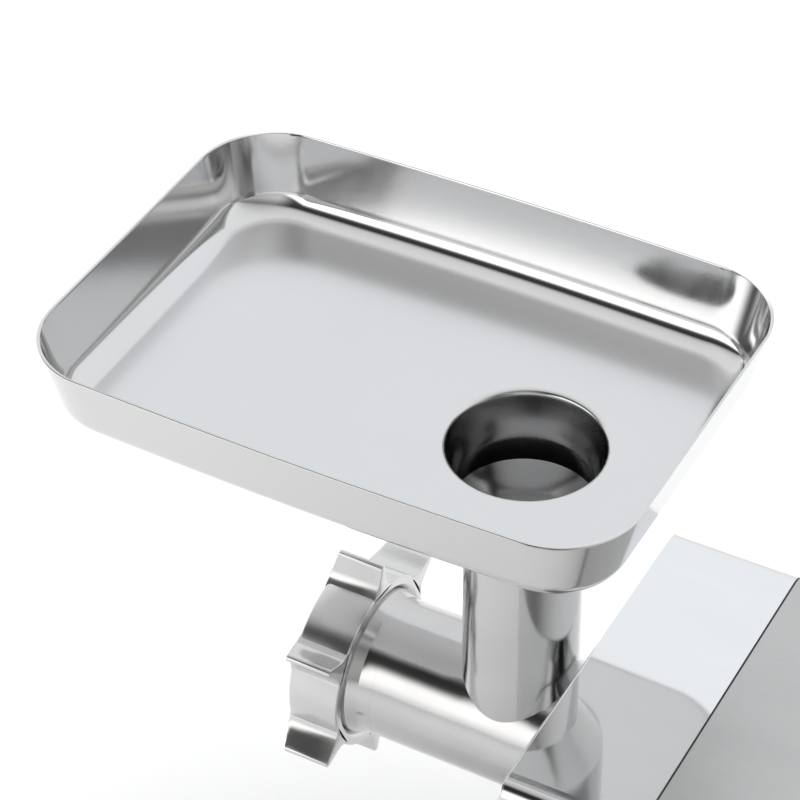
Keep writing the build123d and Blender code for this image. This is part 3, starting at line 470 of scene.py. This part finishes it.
def addNode(tree, kind, inputs, settings=None):
    node = tree.nodes.new(kind)
    for name, value in (settings or {}).items():
        setattr(node, name, value)
    for key, value in inputs.items():
        if isinstance(value, bpy.types.NodeSocket):
            tree.links.new(value, node.inputs[key])
        else:
            node.inputs[key].default_value = value
    return node.outputs[0]


def closeTree(tree, geometry, material):
    whole = addNode(tree, "GeometryNodeRealizeInstances", {0: geometry})
    finished = addNode(tree, "GeometryNodeSetMaterial", {"Geometry": whole, "Material": material})
    tree.links.new(finished, tree.nodes.new("NodeGroupOutput").inputs[0])
    return tree


def vectorMath(tree, operation, a, b):
    key = "Scale" if operation == "SCALE" else 1
    return addNode(tree, "ShaderNodeVectorMath", {0: a, key: b}, {"operation": operation})


def makeRingTree():
    # the incoming piece stands at the origin and is repeated round an axis through Centre
    tree, given = newTree("ringTree", (("Geometry", "Geometry"), ("Count", "Int"), ("Start", "Float"),
                                       ("Axis", "Vector"), ("Centre", "Vector"), ("Material", "Material")))
    points = addNode(tree, "GeometryNodePoints", {"Count": given["Count"], "Position": given["Centre"]})
    index = addNode(tree, "GeometryNodeInputIndex", {})
    share = addNode(tree, "ShaderNodeMath", {0: 2 * math.pi, 1: given["Count"]}, {"operation": "DIVIDE"})
    turn = addNode(tree, "ShaderNodeMath", {0: index, 1: share, 2: given["Start"]},
                   {"operation": "MULTIPLY_ADD"})
    angles = vectorMath(tree, "SCALE", given["Axis"], turn)
    copies = addNode(tree, "GeometryNodeInstanceOnPoints", {"Points": points, "Instance": given["Geometry"],
                                                            "Rotation": angles})
    return closeTree(tree, copies, given["Material"])


def makeRowTree():
    tree, given = newTree("rowTree", (("Geometry", "Geometry"), ("Count", "Int"), ("Start", "Vector"),
                                      ("Step", "Vector"), ("Material", "Material")))
    index = addNode(tree, "GeometryNodeInputIndex", {})
    shift = vectorMath(tree, "SCALE", given["Step"], index)
    place = vectorMath(tree, "ADD", given["Start"], shift)
    points = addNode(tree, "GeometryNodePoints", {"Count": given["Count"], "Position": place})
    copies = addNode(tree, "GeometryNodeInstanceOnPoints", {"Points": points, "Instance": given["Geometry"]})
    return closeTree(tree, copies, given["Material"])


def makeScrewTree():
    # one screw with a crossed recess on each incoming point, turned by the point's "turn"
    tree, given = newTree("screwTree", (("Geometry", "Geometry"), ("Head Radius", "Float"),
                                        ("Head Height", "Float"), ("Shank Radius", "Float"),
                                        ("Shank Length", "Float"), ("Recess Width", "Float"),
                                        ("Material", "Material")))
    # the head's side takes this share of its height, the domed top the rest
    side = 0.45
    headSides = 40
    radius = given["Head Radius"]
    height = given["Head Height"]

    def times(a, b):
        return addNode(tree, "ShaderNodeMath", {0: a, 1: b}, {"operation": "MULTIPLY"})

    def placed(geometry, z):
        offset = addNode(tree, "ShaderNodeCombineXYZ", {2: z})
        return addNode(tree, "GeometryNodeTransform", {"Geometry": geometry, "Translation": offset})

    def block(wide, deep, tall, z):
        size = addNode(tree, "ShaderNodeCombineXYZ", {0: wide, 1: deep, 2: tall})
        return placed(addNode(tree, "GeometryNodeMeshCube", {"Size": size}), z)

    rim = addNode(tree, "GeometryNodeMeshCylinder", {"Vertices": headSides, "Radius": radius,
                                                     "Depth": times(height, side)})
    rim = placed(rim, times(height, side / 2))
    dome = addNode(tree, "GeometryNodeMeshCone", {"Vertices": headSides, "Radius Top": times(radius, 0.72),
                                                  "Radius Bottom": radius, "Depth": times(height, 1 - side)})
    dome = placed(dome, times(height, side))
    width = given["Recess Width"]
    reach = times(radius, 1.1)
    for wide, deep in ((reach, width), (width, reach)):
        cutter = block(wide, deep, times(height, 0.8), height)
        cut = tree.nodes.new("GeometryNodeMeshBoolean")
        cut.operation = "DIFFERENCE"
        tree.links.new(dome, cut.inputs[0])
        tree.links.new(cutter, cut.inputs[1])
        dome = cut.outputs[0]
    shank = addNode(tree, "GeometryNodeMeshCylinder", {"Vertices": 24, "Radius": given["Shank Radius"],
                                                       "Depth": given["Shank Length"]})
    shank = placed(shank, times(given["Shank Length"], -0.5))
    join = tree.nodes.new("GeometryNodeJoinGeometry")
    for geometry in (rim, dome, shank):
        tree.links.new(geometry, join.inputs[0])
    turn = addNode(tree, "GeometryNodeInputNamedAttribute", {"Name": "turn"}, {"data_type": "FLOAT_VECTOR"})
    copies = addNode(tree, "GeometryNodeInstanceOnPoints", {"Points": given["Geometry"],
                                                            "Instance": join.outputs[0], "Rotation": turn})
    return closeTree(tree, copies, given["Material"])


def grown(piece, tree, values):
    # runs a tree on a piece and keeps the plain mesh
    modifier = piece.modifiers.new(tree.name, "NODES")
    modifier.node_group = tree
    for item in tree.interface.items_tree:
        if item.in_out == "INPUT" and item.name in values:
            modifier[item.identifier] = values[item.name]
    ready = piece.evaluated_get(bpy.context.evaluated_depsgraph_get())
    mesh = bpy.data.meshes.new_from_object(ready)
    piece.modifiers.remove(modifier)
    piece.data = mesh
    return piece


def islands(node):
    # bounds of the separate solids of a CAD node
    work = bmesh.new()
    work.from_mesh(frame["nodes"][node].data)
    bmesh.ops.remove_doubles(work, verts=work.verts, dist=1e-6)
    found = []
    seen = set()
    for vertex in work.verts:
        if vertex in seen:
            continue
        seen.add(vertex)
        group = [vertex]
        for member in group:
            for edge in member.link_edges:
                other = edge.other_vert(member)
                if other not in seen:
                    seen.add(other)
                    group.append(other)
        low = [min(member.co[axis] for member in group) for axis in range(3)]
        high = [max(member.co[axis] for member in group) for axis in range(3)]
        found.append((low, high))
    work.free()
    return found


ringTree = makeRingTree()
rowTree = makeRowTree()
screwTree = makeScrewTree()
print("trees made")


# ring nut
nutPlan = {"outer": 49.4 * mm, "bore": 41.8 * mm, "mouth": 30.0 * mm, "lip": 4.0 * mm, "edge": 0.7 * mm,
           "count": 6, "angle": 35.0, "taperR": 51.6 * mm, "taperDepth": 3.6 * mm, "taperRise": 4.18}
# radius and half width down a lug's concave flank, in millimetres
nutPlan["flank"] = ((46.5, 10.6), (48.6, 8.6), (50.4, 6.6), (52.6, 5.2), (55.4, 4.2), (59.0, 3.3),
                    (62.6, 2.5), (64.9, 1.95), (65.9, 1.45), (66.3, 0.7))


def turnedRing(name, profile, centre, count=144):
    # closed profile of (radius, y) turned about the Y axis through centre
    points = []
    for radius, y in profile:
        for j in range(count):
            angle = 2 * math.pi * j / count
            points.append((centre[0] + radius * math.cos(angle), y, centre[1] + radius * math.sin(angle)))
    return meshPiece(name, points, gridFaces(len(profile), count, closed=True), sharpAngle=24)


def lugPoints():
    marks = [(radius * mm, half * mm) for radius, half in nutPlan["flank"]]
    return marks + [(radius, -half) for radius, half in reversed(marks)]


def buildLug(front, back):
    edge = nutPlan["edge"]
    outline = lugPoints()
    tip = outline[len(outline) // 2][0]
    depth = back - front
    taper = nutPlan["taperDepth"]
    stations = [(0.0, edge), (0.3 * edge, 0.3 * edge), (edge, 0.0), (1.0 * mm, 0.0), (2.0 * mm, 0.0),
                (3.0 * mm, 0.0), (taper, 0.0), (depth - edge, 0.0), (depth - 0.3 * edge, 0.3 * edge),
                (depth, edge)]
    rings = []
    for along, shrink in stations:
        limit = nutPlan["taperR"] + along * nutPlan["taperRise"] if along < taper else tip
        ring = []
        for radius, half in outline:
            narrow = max(abs(half) - shrink, 0.1 * mm)
            reach = min(radius, limit) - (shrink if radius > nutPlan["outer"] else 0.0)
            ring.append((math.copysign(narrow, half), front + along, reach))
        rings.append(ring)
    count = len(outline)
    faces = gridFaces(len(rings), count)
    faces.append(tuple(range(count)))
    faces.append(tuple(range((len(rings) - 1) * count, len(rings) * count)))
    return meshPiece("ringNutLugs", [point for ring in rings for point in ring], faces, sharpAngle=38)


def buildRingNut():
    front = nutLow[1]
    back = nutHigh[1]
    outer = nutPlan["outer"]
    bore = nutPlan["bore"]
    mouth = nutPlan["mouth"]
    profile = [(mouth, front + 0.9 * mm), (mouth + 0.3 * mm, front + 0.25 * mm), (mouth + 0.9 * mm, front),
               (outer - 3.2 * mm, front), (outer - 1.4 * mm, front + 0.35 * mm),
               (outer - 0.5 * mm, front + 1.1 * mm), (outer, front + 2.4 * mm),
               (outer, back - 1.5 * mm), (outer - 0.25 * mm, back - 0.6 * mm),
               (outer - 0.9 * mm, back - 0.1 * mm), (outer - 1.5 * mm, back), (bore + 2.6 * mm, back),
               (bore + 2.0 * mm, back - 0.3 * mm), (bore, back - 2.4 * mm), (bore, front + nutPlan["lip"]),
               (mouth, front + nutPlan["lip"])]
    body = turnedRing("ringNutBody", profile, (0.0, axisZ))
    finishPiece(body, nutPolish, "ring_nut", "head_polish", "ring_nut")
    lugs = buildLug(front, back)
    # the lug points up at the origin; a turn about +Y carries it towards +X
    start = math.radians(90.0 - nutPlan["angle"])
    grown(lugs, ringTree, {"Count": nutPlan["count"], "Start": start, "Axis": (0.0, 1.0, 0.0),
                           "Centre": (0.0, 0.0, axisZ), "Material": nutPolish})
    finishPiece(lugs, nutPolish, "ring_nut", "head_polish")


buildRingNut()
print("ring nut built")


# turned collar of the barrel behind the ring nut: radius and distance behind the nut, in millimetres
collarPlan = ((36.0, -1.6), (41.2, -1.6), (41.2, 0.3), (40.9, 0.7), (40.3, 0.9), (40.2, 1.4), (40.4, 1.7),
              (40.4, 2.2), (40.1, 2.6), (39.5, 3.4), (39.05, 4.6), (38.75, 6.4), (38.6, 8.6), (38.52, 11.5),
              (38.47, 14.0), (36.0, 14.0))


def buildBarrelCollar():
    back = nutHigh[1]
    profile = [(radius * mm, back + along * mm) for radius, along in collarPlan]
    collar = turnedRing("barrelCollar", profile, (0.0, axisZ))
    finishPiece(collar, castPolish, "housing", "head_polish")


# folded front edge of the shell
hemPlan = {"radius": 0.7 * mm, "corner": 13.0 * mm, "sides": 12, "inset": 0.5 * mm, "cornerSteps": 16}


def buildShellHem():
    plan = hemPlan
    half = shellHigh[0] - plan["inset"]
    top = shellHigh[2] - plan["inset"]
    bend = plan["corner"] - plan["inset"]
    low = shellLow[2] + 2 * mm
    path = [(half, low, 0.0), (half, (low + top) / 2, 0.0)]
    steps = plan["cornerSteps"]
    bendPoints = arcPoints((half - bend, top - bend), bend, 0, 90, steps)
    path += [(x, z, i * 90 / steps) for i, (x, z) in enumerate(bendPoints)]
    path += [(-x, z, 180 - angle) for x, z, angle in reversed(path)]
    y = shellLow[1] + 0.4 * mm
    points = []
    for x, z, degrees in path:
        angle = math.radians(degrees)
        for j in range(plan["sides"]):
            turn = 2 * math.pi * j / plan["sides"]
            out = plan["radius"] * math.cos(turn)
            forward = plan["radius"] * math.sin(turn)
            points.append((x + out * math.cos(angle), y + forward, z + out * math.sin(angle)))
    faces = gridFaces(len(path), plan["sides"])
    faces.append(tuple(range(plan["sides"])))
    faces.append(tuple(range(len(points) - plan["sides"], len(points))))
    hem = meshPiece("shellHem", points, faces)
    finishPiece(hem, mirrorSteel, "housing", "shell_mirror")


buildBarrelCollar()
buildShellHem()
print("collar and hem built")


# pressed louvres over the vent slots of the rear panel
louvrePlan = {"halfLength": 13.5 * mm, "rise": 1.8, "columns": 4, "rows": 5, "stepX": 36 * mm,
              "stepZ": 16 * mm, "firstX": -54 * mm, "firstZ": 118 * mm, "middle": 3.3 * mm, "steps": 20}


def buildLouvres():
    plan = louvrePlan
    section = ((-0.4 * mm, 4.2 * mm), (0.0, 4.2 * mm), (0.9 * mm, 3.2 * mm), (1.0 * mm, 2.2 * mm),
               (0.9 * mm, 1.4 * mm), (-0.4 * mm, 2.4 * mm))
    middle = plan["middle"]
    face = panelHigh[1]
    points = []
    steps = plan["steps"]
    for i in range(steps + 1):
        t = 2 * i / steps - 1
        swell = math.sqrt(max(1 - abs(t) ** 6, 0.0)) * 0.94 + 0.06
        for y, z in section:
            lift = y * plan["rise"] if y > 0 else y
            points.append((t * plan["halfLength"], lift * swell, middle + (z - middle) * swell))
    count = len(section)
    faces = gridFaces(steps + 1, count)
    faces.append(tuple(range(count)))
    faces.append(tuple(range(steps * count, (steps + 1) * count)))
    louvre = meshPiece("ventLouvres", points, faces, sharpAngle=50)
    grown(louvre, rowTree, {"Count": plan["columns"], "Start": (plan["firstX"], face, plan["firstZ"]),
                            "Step": (plan["stepX"], 0.0, 0.0), "Material": powderCoat})
    grown(louvre, rowTree, {"Count": plan["rows"], "Start": (0.0, 0.0, 0.0),
                            "Step": (0.0, 0.0, plan["stepZ"]), "Material": powderCoat})
    finishPiece(louvre, powderCoat, "housing", "panel_steel")


buildLouvres()
print("louvres built")


# screws
screwPlan = {"side_screws": {"radius": 3.8 * mm, "height": 2.0 * mm, "shank": 2.0 * mm, "recess": 1.0 * mm},
             "rear_screws": {"radius": 3.8 * mm, "height": 2.0 * mm, "shank": 2.0 * mm, "recess": 1.0 * mm}}


def buildScrews(node, axis, body="housing"):
    plan = screwPlan[node]
    points = []
    turns = []
    shankLength = 0.0
    for low, high in islands(node):
        middle = [(a + b) / 2 for a, b in zip(low, high)]
        outward = 1 if axis == 1 or middle[axis] > 0 else -1
        outer = high[axis] if outward > 0 else low[axis]
        shankLength = max(shankLength, high[axis] - low[axis] - plan["height"])
        middle[axis] = outer - outward * plan["height"]
        points.append(middle)
        turns.append((0.0, outward * math.pi / 2, 0.0) if axis == 0 else (-math.pi / 2, 0.0, 0.0))
    mesh = bpy.data.meshes.new(node + "Points")
    mesh.from_pydata(points, [], [])
    layer = mesh.attributes.new("turn", "FLOAT_VECTOR", "POINT")
    for item, turn in zip(layer.data, turns):
        item.vector = turn
    piece = bpy.data.objects.new(node + "Heads", mesh)
    bpy.context.collection.objects.link(piece)
    grown(piece, screwTree, {"Head Radius": plan["radius"], "Head Height": plan["height"],
                             "Shank Radius": plan["shank"], "Shank Length": shankLength,
                             "Recess Width": plan["recess"], "Material": plated})
    finishPiece(piece, plated, body, "screw_steel", node)


buildScrews("side_screws", 0)
buildScrews("rear_screws", 1)
print("screws built")


# studio
studio = {"floorSize": 12.0, "floorGrey": 0.96, "strength": 1.0}


def buildFloor():
    half = studio["floorSize"]
    corners = [(-half, -half, 0), (half, -half, 0), (half, half, 0), (-half, half, 0)]
    floor = meshPiece("studioFloor", corners, [(0, 1, 2, 3)])
    material, place, feed = newMaterial("paleFloor", specular=0.1)
    grey = studio["floorGrey"]
    feed("Base Color", place.noise(3.0).mixed(rgb(grey), rgb(grey + 0.01)))
    feed("Roughness", 0.95)
    floor.data.materials.append(material)


def stop(degrees, grey, tint=(0.0, 0.0, 0.0)):
    return (0.5 + degrees / 360.0, rgb(grey, tint)[:3])


# brightness by the angle from overhead towards +X
skyStops = [stop(-180, 0.9), stop(-100, 0.95), stop(-70, 1.08), stop(-45, 1.12, (-0.03, 0.0, 0.03)),
            stop(-26, 1.08), stop(-6, 0.98), stop(14, 0.72), stop(26, 0.5),
            stop(58, 1.9, (0.02, 0.0, -0.04)),
            stop(76, 1.8, (0.02, 0.0, -0.03)), stop(92, 1.05), stop(110, 1.0), stop(179, 0.9)]
flag = {"from": 28.0, "to": 52.0, "soft": 6.0, "spread": 50.0, "black": 0.03, "grey": 0.30}


def buildWorld():
    world = bpy.data.worlds.new("studioLight")
    bpy.context.scene.world = world
    world.use_nodes = True
    tree = world.node_tree
    tree.nodes.clear()
    coord = tree.nodes.new("ShaderNodeTexCoord")
    way = Sock(tree, coord.outputs["Generated"])
    x = way.part(0)
    y = way.part(1)
    z = way.part(2)
    lean = way.math("ARCTAN2", x, z) * (180.0 / math.pi)
    shade = lean.make("ShaderNodeValToRGB", {"stops": skyStops}, {0: lean / 360.0 + 0.5})
    # a dark flag beside the camera, wider and greyer towards +Y
    far = (y + 0.3).math("MAXIMUM", y + 0.3, 0.0) * flag["spread"] + flag["to"]
    near = lean.smooth(flag["from"] - flag["soft"], flag["from"] + flag["soft"])
    past = (lean - far).smooth(-flag["soft"], 2 * flag["soft"])
    mask = near * (1.0 - past)
    depth = y.smooth(-0.1, 0.4) * (flag["grey"] - flag["black"]) + flag["black"]
    dark = mask * (1.0 - depth)
    tone = dark.mixed(shade, (0.0, 0.0, 0.0, 1.0))
    back = tree.nodes.new("ShaderNodeBackground")
    tree.links.new(tone.socket, back.inputs[0])
    back.inputs[1].default_value = studio["strength"]
    out = tree.nodes.new("ShaderNodeOutputWorld")
    tree.links.new(back.outputs[0], out.inputs[0])


def areaLight(name, place, aim, size, watts):
    data = bpy.data.lights.new(name, "AREA")
    data.shape = "RECTANGLE"
    data.size, data.size_y = size
    data.energy = watts
    light = bpy.data.objects.new(name, data)
    bpy.context.collection.objects.link(light)
    light.location = place
    light.rotation_euler = (Vector(aim) - Vector(place)).to_track_quat("-Z", "Y").to_euler()
    light.visible_glossy = False
    return light


def buildCamera():
    view = {"yaw": 118.8, "rise": 40.55, "roll": -0.6, "place": (1.02345, tubeY + 0.49154, axisZ + 1.1920),
            "lens": 3052.59 / 800 * 36}
    a = math.radians(view["yaw"])
    e = math.radians(view["rise"])
    turn = math.radians(view["roll"])
    back = Vector((math.sin(a) * math.cos(e), -math.cos(a) * math.cos(e), math.sin(e)))
    right = (-back).cross(Vector((0, 0, 1))).normalized()
    up = right.cross(-back)
    side = right * math.cos(turn) + up * math.sin(turn)
    top = up * math.cos(turn) - right * math.sin(turn)
    data = bpy.data.cameras.new("studioCamera")
    data.sensor_width = 36
    data.lens = view["lens"]
    data.clip_end = 50
    camera = bpy.data.objects.new("studioCamera", data)
    bpy.context.collection.objects.link(camera)
    camera.matrix_world = Matrix((side, top, back)).transposed().to_4x4()
    camera.location = view["place"]
    bpy.context.scene.camera = camera


buildFloor()
buildWorld()
buildCamera()
areaLight("softTop", (-0.5, -0.6, 2.2), (0, 0, 0.2), (2.4, 2.4), 28)
bpy.context.scene.view_settings.view_transform = "Standard"
bpy.context.view_layer.update()
